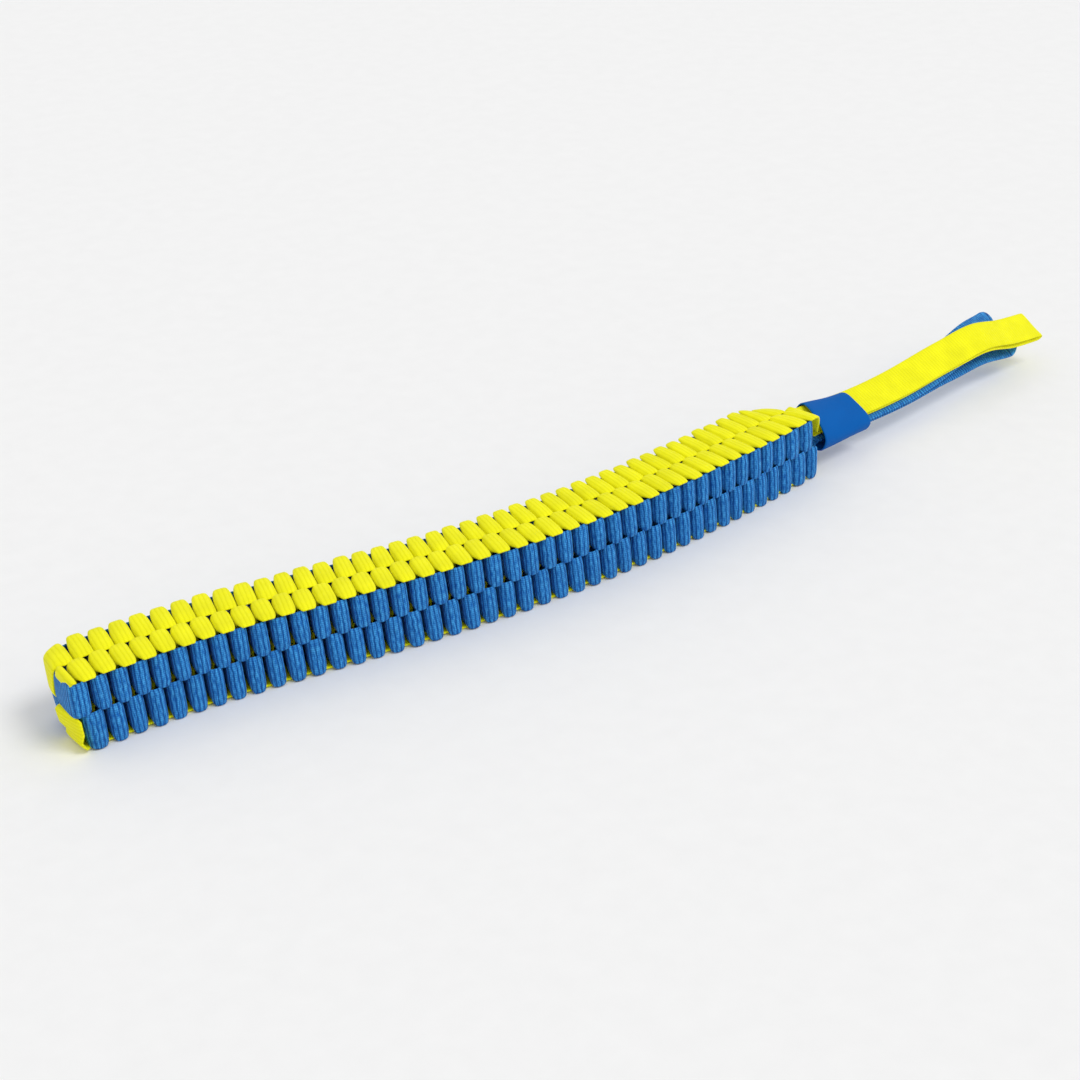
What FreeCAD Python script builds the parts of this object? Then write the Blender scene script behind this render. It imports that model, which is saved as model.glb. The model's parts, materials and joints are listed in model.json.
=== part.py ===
import FreeCAD, Part
import math
import os

from FreeCAD import Vector

# A braided webbing training bumper. Two straps, one yellow and one blue, are each folded
# in half. The fold of each is a hand loop; both pairs of tails leave the loops through a
# shrink-fit sleeve and are then laid over each other in crown knots, layer on layer, into
# a square bar. Millimetres: +X towards the handle, +Y to the back, +Z up.

# ---- driving dimensions -------------------------------------------------------------
BODY_HALF = 16.0          # half the width and half the height of the square braid
LAYER = 4.25              # from one crown knot to the next along the bar
STRAP_T = 1.5             # strap thickness
STRAP_W = 15.0            # strap width where it lies free
SECTION_LAYERS = (13, 12, 12, 12, 12, 12, 13)              # knots in each stiff stretch
SECTION_HEADING = (11.5, 8.5, 4.0, -1.0, -4.5, -4.5, 1.5)  # degrees in plan, +X is 0
FLEX_AXES = ("y", "z", "y", "z", "y", "z")                 # what each boundary bends about

LEVEL_OFFSET = 1.2        # a strap crosses this far over or under the middle of its layer
EDGE_GAP = 0.25           # strap edge to the inside of the fold that wraps it
FOLD_INNER_R = 0.6        # inside radius of a fold's two corners
LANE_INNER = 0.82         # strap edge nearest the bar's middle, so that crossings clear it
CROSSING_R = 1.0          # centreline radius where a strap steps from over to under

FLEX_ANGLE = 10.0         # each boundary bends this far both ways
FLEX_GAP = 0.15           # half the gap at a boundary's axis
FLEX_ROOM = 0.8           # extra length kept free at each end of a section
END_ROOM = 0.15           # the same at the bar's own two ends

NECK_START = (167.8, 21.9)   # where the bar ends, in plan
SLEEVE_HEADING = 5.0
SLEEVE_STANDOFF = 7.5        # bar's end to sleeve
SLEEVE_LENGTH = 34.0
SLEEVE_WALL = 1.0
SLEEVE_LIFT = 2.4            # sleeve's middle above the bar's middle
SLEEVE_BAR_END = (26.0, 14.0, 6.0)    # width, height, corner radius
SLEEVE_MOUTH = (24.0, 12.4, 5.0)
PLY_PITCH = 1.8              # one ply to the next in the stack of four
STAGGER = 1.5                # yellow plies lie this far back, blue ones this far forward
NECK_FLEX_AT = 2.2           # bending axis beyond the bar's end
PLY_START = 3.9              # where the plies start, beyond the bar's end
STITCH_R = 0.4
STITCH_HOLE_R = 0.45
STITCH_ALONG = (6.0, 17.0, 28.0)
STITCH_ACROSS = (-4.0, 4.0)
STITCH_PROUD = 0.4

HANDLE_HEADING = 9.5
KNUCKLE_AT = 3.5             # loops' swing axis beyond the sleeve's mouth
KNUCKLE_R = 4.4
KNUCKLE_GAP = 0.4
LIFT_AT = 20.0               # yellow loop's own bend, beyond the swing axis
LIFT_R = 2.1
YELLOW_END = 145.0           # tips, beyond the swing axis
BLUE_END = 118.0
DROOP_AT = 92.0              # from here the loops droop
DROOP = 6.0                  # degrees below their first run
DROOP_R = 150.0
LOOP_OPEN = 5.0              # clear height inside each loop
FLARE_AT = (24.0, 46.0)      # a loop's plies part over this stretch
FLARE_R = 60.0               # bends where a loop's plies part
BLUE_TIP_SPLIT = 100.0       # plies end and the tip's bend starts
YELLOW_TIP_SPLIT = 138.0
TIP_ROUNDNESS = 0.96         # a tip's two corner radii, as a share of a full half circle

BEYOND = 200.0               # larger than anything that is cut
STRAIGHT = 1e-6              # radians; a smaller turn is none
CRUMB = 1e-3                 # mm3; a smaller solid is a leftover of a cut

AXIS_X = Vector(1, 0, 0)
AXIS_Y = Vector(0, 1, 0)
AXIS_Z = Vector(0, 0, 1)
ORIGIN = Vector(0, 0, 0)


# ---- ribbons ------------------------------------------------------------------------
def ribbon_face(path, radii, thickness, to_space):
    """A band of even thickness along a line of straight runs joined by tangent arcs."""
    sides = {1: [], -1: []}
    last = len(path) - 1
    for side, edges in sides.items():
        offset = side * thickness / 2
        cursor = None
        for i, point in enumerate(path):
            before = path[max(i - 1, 0)]
            after = path[min(i + 1, last)]
            d_in = (point - before).normalize() if i > 0 else (after - point).normalize()
            d_out = (after - point).normalize() if i < last else d_in
            left_in = Vector(-d_in.y, d_in.x, 0)
            left_out = Vector(-d_out.y, d_out.x, 0)
            turn = math.atan2(d_in.x * d_out.y - d_in.y * d_out.x, d_in.dot(d_out))
            if i in (0, last) or abs(turn) < STRAIGHT:
                target = point + left_in * offset
                if cursor is not None:
                    edges.append(Part.LineSegment(to_space(cursor), to_space(target)).toShape())
                cursor = target
                continue
            radius = radii[i - 1]
            hand = math.copysign(1, turn)
            reach = radius * math.tan(abs(turn) / 2)
            centre = point - d_in * reach + left_in * (hand * radius)
            start = point - d_in * reach + left_in * offset
            end = point + d_out * reach + left_out * offset
            middle = centre + (point - centre).normalize() * (radius - hand * offset)
            edges.append(Part.LineSegment(to_space(cursor), to_space(start)).toShape())
            arc = Part.Arc(to_space(start), to_space(middle), to_space(end))
            edges.append(arc.toShape())
            cursor = end
    first_caps = [edges[0].Vertexes[0].Point for edges in sides.values()]
    last_caps = [edges[-1].Vertexes[-1].Point for edges in sides.values()]
    caps = [Part.LineSegment(*first_caps).toShape(), Part.LineSegment(*last_caps).toShape()]
    outline = Part.Wire(Part.__sortEdges__(sides[1] + sides[-1] + caps))
    return Part.Face(outline)


def band(path, radii, low, high, across="y"):
    """A strap: its side view is drawn in X and height, and it spans low to high across."""
    points = [Vector(x, h, 0) for x, h in path]
    if across == "y":
        face = ribbon_face(points, radii, STRAP_T, lambda p: Vector(p.x, low, p.y))
        return face.extrude(AXIS_Y * (high - low))
    face = ribbon_face(points, radii, STRAP_T, lambda p: Vector(p.x, p.y, low))
    return face.extrude(AXIS_Z * (high - low))


def prism(outline, axis):
    """A cutter: a closed outline in X and one other axis, run right through along `axis`."""
    if axis == "z":
        points = [Vector(x, other, -BEYOND) for x, other in outline]
        run = AXIS_Z * (2 * BEYOND)
    else:
        points = [Vector(x, -BEYOND, other) for x, other in outline]
        run = AXIS_Y * (2 * BEYOND)
    return Part.Face(Part.makePolygon(points + points[:1])).extrude(run)


def place(shape, heading, at):
    """Turn a shape from its own frame into the object's frame."""
    shape.rotate(ORIGIN, AXIS_Z, heading)
    shape.translate(at)
    return shape


def heading_vector(degrees):
    angle = math.radians(degrees)
    return Vector(math.cos(angle), math.sin(angle), 0)


# ---- braid --------------------------------------------------------------------------
# Each strand keeps to its own half of the bar. In an even layer it starts at `first`
# (+1 top or back, -1 bottom or front), and in an odd layer at the other side.
STRANDS = {
    "yellow_front": {"across": "y", "half": -1, "first": 1},
    "yellow_back": {"across": "y", "half": 1, "first": -1},
    "blue_upper": {"across": "z", "half": 1, "first": 1},
    "blue_lower": {"across": "z", "half": -1, "first": -1},
}
LANE_OUTER = BODY_HALF - STRAP_T - EDGE_GAP
FOLD_HEIGHT = BODY_HALF - STRAP_T / 2
FOLD_R = FOLD_INNER_R + STRAP_T / 2
STUB = 1.0


def section_points():
    """Plan positions of the section boundaries, from the neck to the far end."""
    points = [Vector(NECK_START[0], NECK_START[1], BODY_HALF)]
    for layers, heading in zip(SECTION_LAYERS, SECTION_HEADING):
        points.append(points[-1] - heading_vector(heading) * (layers * LAYER))
    return points


def strand_path(strand, first_layer, layers, length, rooms):
    """Side view of one strand through one section: (x, height) corners and their radii."""
    pitch = (length - sum(rooms)) / layers
    is_first = first_layer == 0
    is_last = first_layer + layers == sum(SECTION_LAYERS)
    path = []
    radii = []
    for i in range(layers):
        k = first_layer + i
        start = strand["first"] * (1 if k % 2 == 0 else -1)
        x = -(rooms[0] + (i + 0.5) * pitch)
        over = x - LEVEL_OFFSET
        under = x + LEVEL_OFFSET
        if i == 0 and is_first:
            face = under + STRAP_T + 2 * EDGE_GAP
            path += [(face, start * STRAP_T), (face, start * FOLD_HEIGHT)]
            radii += [FOLD_R]
        elif i == 0:
            path += [(STUB, start * FOLD_HEIGHT)]
        path += [
            (over, start * FOLD_HEIGHT),
            (over, start * LEVEL_OFFSET),
            (under, -start * LEVEL_OFFSET),
        ]
        radii += [FOLD_R, CROSSING_R, CROSSING_R]
        if i == layers - 1 and is_last:
            path += [(under, -start * (BODY_HALF - EDGE_GAP))]
        else:
            path += [(under, -start * FOLD_HEIGHT)]
            radii += [FOLD_R]
    if not is_last:
        path += [(-length - STUB, path[-1][1])]
    return path, radii


def flex_cutter(axis, side):
    """What a boundary removes from the section on its `side` (-1 far end, +1 neck)."""
    slope = math.tan(math.radians(FLEX_ANGLE / 2))
    edge = side * (FLEX_GAP + BEYOND * slope)
    outline = [(side * FLEX_GAP, 0), (edge, BEYOND), (-side * BEYOND, BEYOND),
               (-side * BEYOND, -BEYOND), (edge, -BEYOND)]
    return prism(outline, axis)


def braid_sections():
    parts = {}
    corners = section_points()
    first_layer = 0
    count = len(SECTION_LAYERS)
    for i, layers in enumerate(SECTION_LAYERS):
        length = layers * LAYER
        rooms = (END_ROOM if i == 0 else FLEX_ROOM, END_ROOM if i == count - 1 else FLEX_ROOM)
        cutters = []
        if i > 0:
            between = (SECTION_HEADING[i - 1] + SECTION_HEADING[i]) / 2
            cutters.append(place(flex_cutter(FLEX_AXES[i - 1], -1), between, corners[i]))
        if i < count - 1:
            between = (SECTION_HEADING[i] + SECTION_HEADING[i + 1]) / 2
            cutters.append(place(flex_cutter(FLEX_AXES[i], 1), between, corners[i + 1]))
        for name, strand in STRANDS.items():
            path, radii = strand_path(strand, first_layer, layers, length, rooms)
            edges = sorted((strand["half"] * LANE_INNER, strand["half"] * LANE_OUTER))
            strap = band(path, radii, edges[0], edges[1], strand["across"])
            strap = place(strap, SECTION_HEADING[i], corners[i])
            for cutter in cutters:
                strap = strap.cut(cutter)
            parts[f"braid_{i + 1}_{name}"] = strap
        first_layer += layers
    return parts


# ---- neck: the four plies, the stitches through them and the sleeve ------------------
PLY_LEVELS = {
    "yellow_upper": 1.5 * PLY_PITCH,
    "yellow_lower": 0.5 * PLY_PITCH,
    "blue_upper": -0.5 * PLY_PITCH,
    "blue_lower": -1.5 * PLY_PITCH,
}
SWING_X = SLEEVE_STANDOFF + SLEEVE_LENGTH + KNUCKLE_AT
NECK_AT = Vector(NECK_START[0], NECK_START[1], BODY_HALF + SLEEVE_LIFT)


def lane(colour):
    """Across-limits of a ply of this colour."""
    middle = STAGGER if colour == "yellow" else -STAGGER
    return middle - STRAP_W / 2, middle + STRAP_W / 2


def knuckle(radius, x, height):
    return Part.makeCylinder(radius, 2 * BEYOND, Vector(x, -BEYOND, height), AXIS_Y)


def rounded_oval(width, height, radius, x):
    """A rounded rectangle across the X axis."""
    half_w = width / 2
    half_h = height / 2
    edges = []
    quarter = math.pi / 4
    for turn, (sy, sz) in enumerate(((1, 1), (-1, 1), (-1, -1), (1, -1))):
        centre = Vector(x, sy * (half_w - radius), sz * (half_h - radius))
        angles = [turn * math.pi / 2 + step * quarter for step in (0, 1, 2)]
        arc = [centre + Vector(0, math.cos(a), math.sin(a)) * radius for a in angles]
        edges.append(Part.Arc(*arc).toShape())
    ends = [(e.Vertexes[0].Point, e.Vertexes[-1].Point) for e in edges]
    for i in range(4):
        edges.append(Part.LineSegment(ends[i][1], ends[(i + 1) % 4][0]).toShape())
    return Part.Wire(Part.__sortEdges__(edges))


def sleeve():
    ends = ((SLEEVE_BAR_END, SLEEVE_STANDOFF), (SLEEVE_MOUTH, SLEEVE_STANDOFF + SLEEVE_LENGTH))
    outer = Part.makeLoft([rounded_oval(w, h, r, x) for (w, h, r), x in ends], True, True)
    wall = SLEEVE_WALL
    bore = [rounded_oval(w - 2 * wall, h - 2 * wall, r - wall, x) for (w, h, r), x in ends]
    return outer.cut(Part.makeLoft(bore, True, True))


def stitch_places():
    return [(SLEEVE_STANDOFF + x, y) for x in STITCH_ALONG for y in STITCH_ACROSS]


def upright(radius, half_height, x, y):
    return Part.makeCylinder(radius, 2 * half_height, Vector(x, y, -half_height), AXIS_Z)


def neck_parts():
    parts = {"shrink_sleeve": sleeve()}
    # The plies' two ends are square to what they meet: the bar, and the loops' swing axis.
    bar_side = up_to(PLY_START, 0, 0)
    bar_side.rotate(ORIGIN, AXIS_Z, SECTION_HEADING[0] - SLEEVE_HEADING)
    keep = up_to(SWING_X, KNUCKLE_R, 0)
    keep.rotate(Vector(SWING_X, 0, 0), AXIS_Z, HANDLE_HEADING - SLEEVE_HEADING)
    for name, level in PLY_LEVELS.items():
        low, high = lane(name.split("_")[0])
        ply = band([(0, level), (SWING_X + 2 * KNUCKLE_R, level)], [], low, high)
        ply = ply.common(keep).cut(bar_side)
        for x, y in stitch_places():
            ply = ply.cut(upright(STITCH_HOLE_R, BODY_HALF, x, y))
        parts[f"neck_{name}_ply"] = ply
    stitch_half = 2 * PLY_PITCH + STITCH_PROUD
    stitches = [upright(STITCH_R, stitch_half, x, y) for x, y in stitch_places()]
    parts["binding_stitches"] = Part.makeCompound(stitches)
    for shape in parts.values():
        place(shape, SLEEVE_HEADING, NECK_AT)
    return parts


# ---- hand loops ---------------------------------------------------------------------
# Each loop's plies leave the knuckle stacked. The outer ply then flares away from the
# inner one, which stays beside the other loop, and both droop towards the tip.
OPEN_PITCH = LOOP_OPEN + STRAP_T


def loop_path(inner_level, outward, end):
    """Centreline of one strap from the knuckle out to its tip and back, inner ply first."""
    droop = math.radians(DROOP)
    stacked = inner_level + outward * PLY_PITCH
    parted = inner_level + outward * OPEN_PITCH
    tip_x = end - STRAP_T / 2
    inner_tip = (tip_x, inner_level - (tip_x - DROOP_AT) * math.tan(droop))
    outer_tip = (tip_x + outward * OPEN_PITCH * math.sin(droop),
                 inner_tip[1] + outward * OPEN_PITCH * math.cos(droop))
    path = [(0, inner_level), (DROOP_AT, inner_level), inner_tip, outer_tip,
            (DROOP_AT, parted), (FLARE_AT[1], parted), (FLARE_AT[0], stacked), (0, stacked)]
    tip_r = OPEN_PITCH / 2 * TIP_ROUNDNESS
    radii = [DROOP_R, tip_r, tip_r, DROOP_R, FLARE_R, FLARE_R]
    return path, radii


def up_to(x, knuckle_r, level):
    """Everything on the neck side of x, rounded off by a knuckle about that line, if any."""
    side = prism([(-BEYOND, -BEYOND), (x, -BEYOND), (x, BEYOND), (-BEYOND, BEYOND)], "y")
    return side.fuse(knuckle(knuckle_r, x, level)) if knuckle_r else side


def split_loop(loop, colour, inner_level, outward, tip_from):
    """One strap as its two plies and the bend that joins them."""
    middle = inner_level + outward * OPEN_PITCH / 2
    stack_middle = inner_level + outward * PLY_PITCH / 2
    sag = (tip_from - DROOP_AT) * math.tan(math.radians(DROOP))
    above = prism([(-BEYOND, stack_middle), (FLARE_AT[0], stack_middle),
                   (FLARE_AT[1], middle), (DROOP_AT, middle), (tip_from, middle - sag),
                   (tip_from, BEYOND), (-BEYOND, BEYOND)], "y")
    tip_zone = prism([(tip_from, -BEYOND), (BEYOND, -BEYOND), (BEYOND, BEYOND),
                      (tip_from, BEYOND)], "y")
    plies = loop.cut(tip_zone)
    return {
        f"{colour}_loop_upper_ply": plies.common(above),
        f"{colour}_loop_lower_ply": plies.cut(above),
        f"{colour}_loop_tip": loop.common(tip_zone),
    }


def loop_parts():
    neck_side = up_to(0, KNUCKLE_R + KNUCKLE_GAP, 0)
    straps = {}
    for colour, outward, end in (("yellow", 1, YELLOW_END), ("blue", -1, BLUE_END)):
        path, radii = loop_path(outward * PLY_PITCH / 2, outward, end)
        straps[colour] = band(path, radii, *lane(colour)).cut(neck_side)

    # The yellow strap's first stretch swings with the blue loop; the rest also lifts.
    lift_level = PLY_PITCH
    root = straps["yellow"].common(up_to(LIFT_AT, LIFT_R, lift_level))
    lifting = straps["yellow"].cut(up_to(LIFT_AT, LIFT_R + KNUCKLE_GAP, lift_level))
    parts = {"yellow_loop_root": root}
    parts.update(split_loop(lifting, "yellow", PLY_PITCH / 2, 1, YELLOW_TIP_SPLIT))
    parts.update(split_loop(straps["blue"], "blue", -PLY_PITCH / 2, -1, BLUE_TIP_SPLIT))
    for shape in parts.values():
        place(shape, HANDLE_HEADING, swing_centre())
    return parts


def swing_centre():
    return NECK_AT + heading_vector(SLEEVE_HEADING) * SWING_X


def local_point(x, y, z):
    """A point of the hand loops' own frame, in the object's frame."""
    return place(Part.Vertex(x, y, z), HANDLE_HEADING, swing_centre()).Point


# ---- write --------------------------------------------------------------------------
def main():
    parts = {}
    parts.update(neck_parts())
    parts.update(braid_sections())
    parts.update(loop_parts())

    whole = Part.makeCompound(list(parts.values())).optimalBoundingBox()
    shift = Vector(-whole.Center.x, -whole.Center.y, -whole.ZMin)
    os.makedirs("parts", exist_ok=True)
    for name, shape in parts.items():
        shape.translate(shift)
        solids = [solid for solid in shape.Solids if solid.Volume > CRUMB]
        kept = solids[0] if len(solids) == 1 else Part.makeCompound(solids)
        kept.exportStep(f"parts/{name}.step")
        print(f"{name}: {len(solids)} solid(s), {kept.Volume:.1f} mm3, valid {kept.isValid()}")

    def tell(name, point, axis):
        at = point + shift
        print(f"{name}: at ({at.x:.3f}, {at.y:.3f}, {at.z:.3f}) axis "
              f"({axis.x:.5f}, {axis.y:.5f}, {axis.z:.5f})")

    print(f"size {whole.XLength:.2f} x {whole.YLength:.2f} x {whole.ZLength:.2f} mm")
    tell("shift", ORIGIN, AXIS_Z)
    neck_dir = heading_vector(SECTION_HEADING[0])
    tell("neck_flex", section_points()[0] + neck_dir * NECK_FLEX_AT, AXIS_Z.cross(neck_dir))
    for i, axis in enumerate(FLEX_AXES):
        between = heading_vector((SECTION_HEADING[i] + SECTION_HEADING[i + 1]) / 2)
        line = AXIS_Z if axis == "z" else AXIS_Z.cross(between)
        tell(f"flex_{i + 1}", section_points()[i + 1], line)
    across = local_point(0, 1, 0) - local_point(0, 0, 0)
    tell("loops_swing", local_point(0, 0, 0), across)
    tell("yellow_lift", local_point(LIFT_AT, 0, PLY_PITCH), across)


main()
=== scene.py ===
import json
import math
import random

import bpy
import numpy as np
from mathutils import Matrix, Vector


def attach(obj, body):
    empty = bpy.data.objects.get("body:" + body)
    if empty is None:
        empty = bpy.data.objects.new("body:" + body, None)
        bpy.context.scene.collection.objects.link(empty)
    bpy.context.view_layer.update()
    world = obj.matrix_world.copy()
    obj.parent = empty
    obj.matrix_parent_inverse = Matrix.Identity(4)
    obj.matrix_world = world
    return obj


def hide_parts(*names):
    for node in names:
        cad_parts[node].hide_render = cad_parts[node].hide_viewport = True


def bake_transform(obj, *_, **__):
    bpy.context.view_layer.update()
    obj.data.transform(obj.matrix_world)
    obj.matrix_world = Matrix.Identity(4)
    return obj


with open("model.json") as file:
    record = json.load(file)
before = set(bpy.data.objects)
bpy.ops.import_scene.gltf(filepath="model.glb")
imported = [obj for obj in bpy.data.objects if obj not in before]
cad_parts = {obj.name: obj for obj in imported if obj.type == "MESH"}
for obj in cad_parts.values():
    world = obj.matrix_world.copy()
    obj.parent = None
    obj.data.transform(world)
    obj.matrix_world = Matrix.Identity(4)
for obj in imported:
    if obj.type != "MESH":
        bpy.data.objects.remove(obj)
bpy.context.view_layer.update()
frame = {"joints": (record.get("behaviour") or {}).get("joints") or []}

# A training bumper braided from two webbing straps, one yellow and one blue. Lengths are
# in millimetres here and become metres where a mesh is made. Along the bar, s runs from
# the sleeve end to the free end, v is to the back and w is up, both from the bar's middle.
MM = 0.001

# ---- dimensions shared with the frame -------------------------------------------------
LAYER = 4.25
SECTION_LAYERS = (13, 12, 12, 12, 12, 12, 13)
BODY_HALF = 16.0
NECK_FLEX_AT = 2.2
END_HEADING = math.radians(1.5)
SLEEVE_HEADING = math.radians(5.0)
SLEEVE_START = -29.8
SLEEVE_END = -1.0

# ---- straps ---------------------------------------------------------------------------
STRAP_T = 1.4
STRAP_W = 15.2
CROWN_TOP = 15.3           # centreline of a fold at its highest
LEG_TOP = 11.3             # a fold's straight legs end here
LEG_INNER = 0.55
CROWN_INNER = -0.15        # folds of the two rows bite past the middle between each other
LOBE_REACH = 15.55         # outer edge of the fold that lies over the corner
CROWN_STEPS = 16
CROSS_HALF = 1.8
CROSS_HEIGHTS = (8.0, 4.5, 1.8, 0.9, 0.0, -0.9, -1.8, -4.5, -8.0)
DOME_INNER = 0.5
DOME_OUTER = 0.3
FIRST_CROWN_HALF = 2.4

COLOURS = {
    "yellow": {"level": 1.34, "squareness": 4.0, "leg": 9.6},
    "blue": {"level": 0.75, "squareness": 2.5, "leg": 14.1},
}
STRANDS = {
    "yellow_front": {"across": "v", "half": -1, "first": 1, "colour": "yellow",
                     "reach": {1: LOBE_REACH, -1: 12.8}},
    "yellow_back": {"across": "v", "half": 1, "first": -1, "colour": "yellow",
                    "reach": {1: LOBE_REACH, -1: LOBE_REACH}},
    "blue_upper": {"across": "w", "half": 1, "first": 1, "colour": "blue",
                   "reach": {1: 13.0, -1: 14.1}},
    "blue_lower": {"across": "w", "half": -1, "first": -1, "colour": "blue",
                   "reach": {1: 13.4, -1: LOBE_REACH}},
}

LAYERS = sum(SECTION_LAYERS)
BAR_LENGTH = LAYERS * LAYER
BOUNDS = np.cumsum((0,) + SECTION_LAYERS) * LAYER


def joint(name):
    return next(j for j in frame["joints"] if j["name"] == name)


def joint_at(name):
    return np.array(joint(name)["pos_m"]) / MM


def heading(angle):
    return np.array((math.cos(angle), math.sin(angle), 0.0))


def lerp(a, b, t):
    return a + (b - a) * t


def smooth(t):
    t = np.clip(t, 0, 1)
    return t * t * (3 - 2 * t)


def curve_through(places, values):
    """A smooth function through these values, one value for each place."""
    places = np.array(places, float)
    values = np.array(values, float)
    slopes = np.gradient(values, places)

    def at(x):
        x = np.asarray(x, float)
        i = np.clip(np.searchsorted(places, x) - 1, 0, len(places) - 2)
        run = places[i + 1] - places[i]
        t = np.clip((x - places[i]) / run, 0, 1)
        return ((2 * t**3 - 3 * t**2 + 1) * values[i] + (t**3 - 2 * t**2 + t) * run * slopes[i]
                + (3 * t**2 - 2 * t**3) * values[i + 1] + (t**3 - t**2) * run * slopes[i + 1])

    return at


# ---- the bar's centreline -------------------------------------------------------------
def centreline_points():
    axis = np.array(joint("neck_flex")["axis"])
    first = joint_at("neck_flex") - np.array((axis[1], -axis[0], 0)) * NECK_FLEX_AT
    inner = [joint_at(f"flex_{i}") for i in range(1, len(SECTION_LAYERS))]
    last = inner[-1] - heading(END_HEADING) * SECTION_LAYERS[-1] * LAYER
    return np.array([first, *inner, last])


POINTS = centreline_points()
CHORDS = np.diff(POINTS, axis=0)
CHORDS /= np.linalg.norm(CHORDS, axis=1)[:, None]
TANGENTS = np.vstack([CHORDS[:1] * 3 - CHORDS[1:2], CHORDS[:-1] + CHORDS[1:],
                      CHORDS[-1:] * 3 - CHORDS[-2:-1]])
TANGENTS /= np.linalg.norm(TANGENTS, axis=1)[:, None]


def centreline(s):
    """Points of the bar's middle, and unit directions towards its free end."""
    i = np.clip(np.searchsorted(BOUNDS, s) - 1, 0, len(CHORDS) - 1)
    run = (BOUNDS[i + 1] - BOUNDS[i])[:, None]
    free = (s[:, None] - BOUNDS[i][:, None]) / run
    t = np.clip(free, 0, 1)
    a, b = POINTS[i], POINTS[i + 1]
    ta, tb = TANGENTS[i] * run, TANGENTS[i + 1] * run
    at = ((2 * t**3 - 3 * t**2 + 1) * a + (t**3 - 2 * t**2 + t) * ta
          + (3 * t**2 - 2 * t**3) * b + (t**3 - t**2) * tb)
    slope = ((6 * t**2 - 6 * t) * a + (3 * t**2 - 4 * t + 1) * ta
             + (6 * t - 6 * t**2) * b + (3 * t**2 - 2 * t) * tb)
    slope /= np.linalg.norm(slope, axis=1)[:, None]
    return at + slope * (free - t) * run, slope


# The knots aren't laid square: the layers lean, and the bar is dressed at its two ends.
LAYER_YAW = curve_through((0, 90, 200, 366), (0.06, 0.13, 0.20, 0.21))
LAYER_LEAN = curve_through((0, 90, 200, 366), (0.07, 0.11, 0.12, 0.10))
END_ROUND = 10.0
END_TAPER = 0.03
END_BULGE = 1.6
END_RECESS = 0.6           # the free end's lower half slopes back under
END_BACK_DROP = 2.0
NECK_SPAN = 19.0
NECK_NARROW = 0.13
NECK_DROP = 4.4
NECK_REACH = 3.2           # the front of the first layers is pulled towards the sleeve


def bar_point(s, v, w):
    """Row-frame points for places on the bar."""
    s, v, w = (np.asarray(x, float) for x in (s, v, w))
    far = smooth((s - BAR_LENGTH + END_ROUND) / END_ROUND)
    flat_v = 1 - np.clip(np.abs(v) / BODY_HALF, 0, 1) ** 2
    flat_w = 1 - np.clip(np.abs(w) / BODY_HALF, 0, 1) ** 2
    near = smooth(1 - s / NECK_SPAN)
    below = np.clip(-w / BODY_HALF, 0, 1) ** 1.5
    along = (s + LAYER_LEAN(s) * w - LAYER_YAW(s) * v
             + far * (END_BULGE * flat_v * flat_w - END_RECESS * below))
    back_share = np.clip((v + BODY_HALF) / (2 * BODY_HALF), 0, 1)
    along -= NECK_REACH * near * (1 - back_share)
    top_share = np.clip((w + BODY_HALF) / (2 * BODY_HALF), 0, 1)
    drop = (NECK_DROP * near + END_BACK_DROP * far) * back_share**2 * top_share
    across = v * (1 - END_TAPER * far**2) * (1 - NECK_NARROW * near * (v > 0))
    height = w * (1 - END_TAPER * far**2) - drop
    at, slope = centreline(along)
    back = np.stack([slope[:, 1], -slope[:, 0], np.zeros(len(slope))], 1)
    return at + back * across[:, None] + np.array((0, 0, 1.0)) * height[:, None]


# ---- meshes ---------------------------------------------------------------------------
def mesh_object(name, points, faces, weave=None):
    mesh = bpy.data.meshes.new(name)
    mesh.from_pydata((np.asarray(points) * MM).tolist(), [], faces)
    mesh.update()
    if weave is not None:
        layer = mesh.attributes.new("weave", "FLOAT_VECTOR", "POINT")
        layer.data.foreach_set("vector", np.asarray(weave, np.float32).ravel())
    obj = bpy.data.objects.new(name, mesh)
    bpy.context.scene.collection.objects.link(obj)
    mesh.polygons.foreach_set("use_smooth", [True] * len(mesh.polygons))
    return obj


def signed_volume(points, faces):
    total = 0.0
    for face in faces:
        a = points[face[0]]
        for i in range(1, len(face) - 1):
            total += float(np.dot(a, np.cross(points[face[i]], points[face[i + 1]])))
    return total


def tube_faces(rings, size, closed=False, capped=True):
    """Quads between rings of points, and the two end caps."""
    faces = []
    for i in range(rings if closed else rings - 1):
        here = i * size
        there = (i + 1) % rings * size
        for k in range(size):
            after = (k + 1) % size
            faces.append((here + k, here + after, there + after, there + k))
    caps = []
    if capped and not closed:
        caps = [tuple(range(size))[::-1], tuple(range((rings - 1) * size, rings * size))]
    return faces, caps


def strap_object(name, rings, weave, colour):
    """A strap from its rings of points, in order along its length."""
    count, size = rings.shape[:2]
    points = rings.reshape(-1, 3)
    faces, caps = tube_faces(count, size)
    middle = points.mean(0)
    if signed_volume(points - middle, faces[:: max(1, len(faces) // 4000)] + caps) < 0:
        faces = [f[::-1] for f in faces]
        caps = [c[::-1] for c in caps]
    obj = mesh_object(name, points, faces + caps, weave.reshape(-1, 3))
    mark_caps(obj, len(faces))
    obj.data.materials.append(material(f"{colour}_webbing"))
    return obj


def mark_caps(obj, side_faces):
    """The strap's cut ends stay sharp, so that two lengths meet with no shading line."""
    mesh = obj.data
    ends = {key for poly in list(mesh.polygons)[side_faces:] for key in poly.edge_keys}
    sharp = [edge.key in ends for edge in mesh.edges]
    layer = mesh.attributes.new("sharp_edge", "BOOLEAN", "EDGE")
    layer.data.foreach_set("value", sharp)


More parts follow.
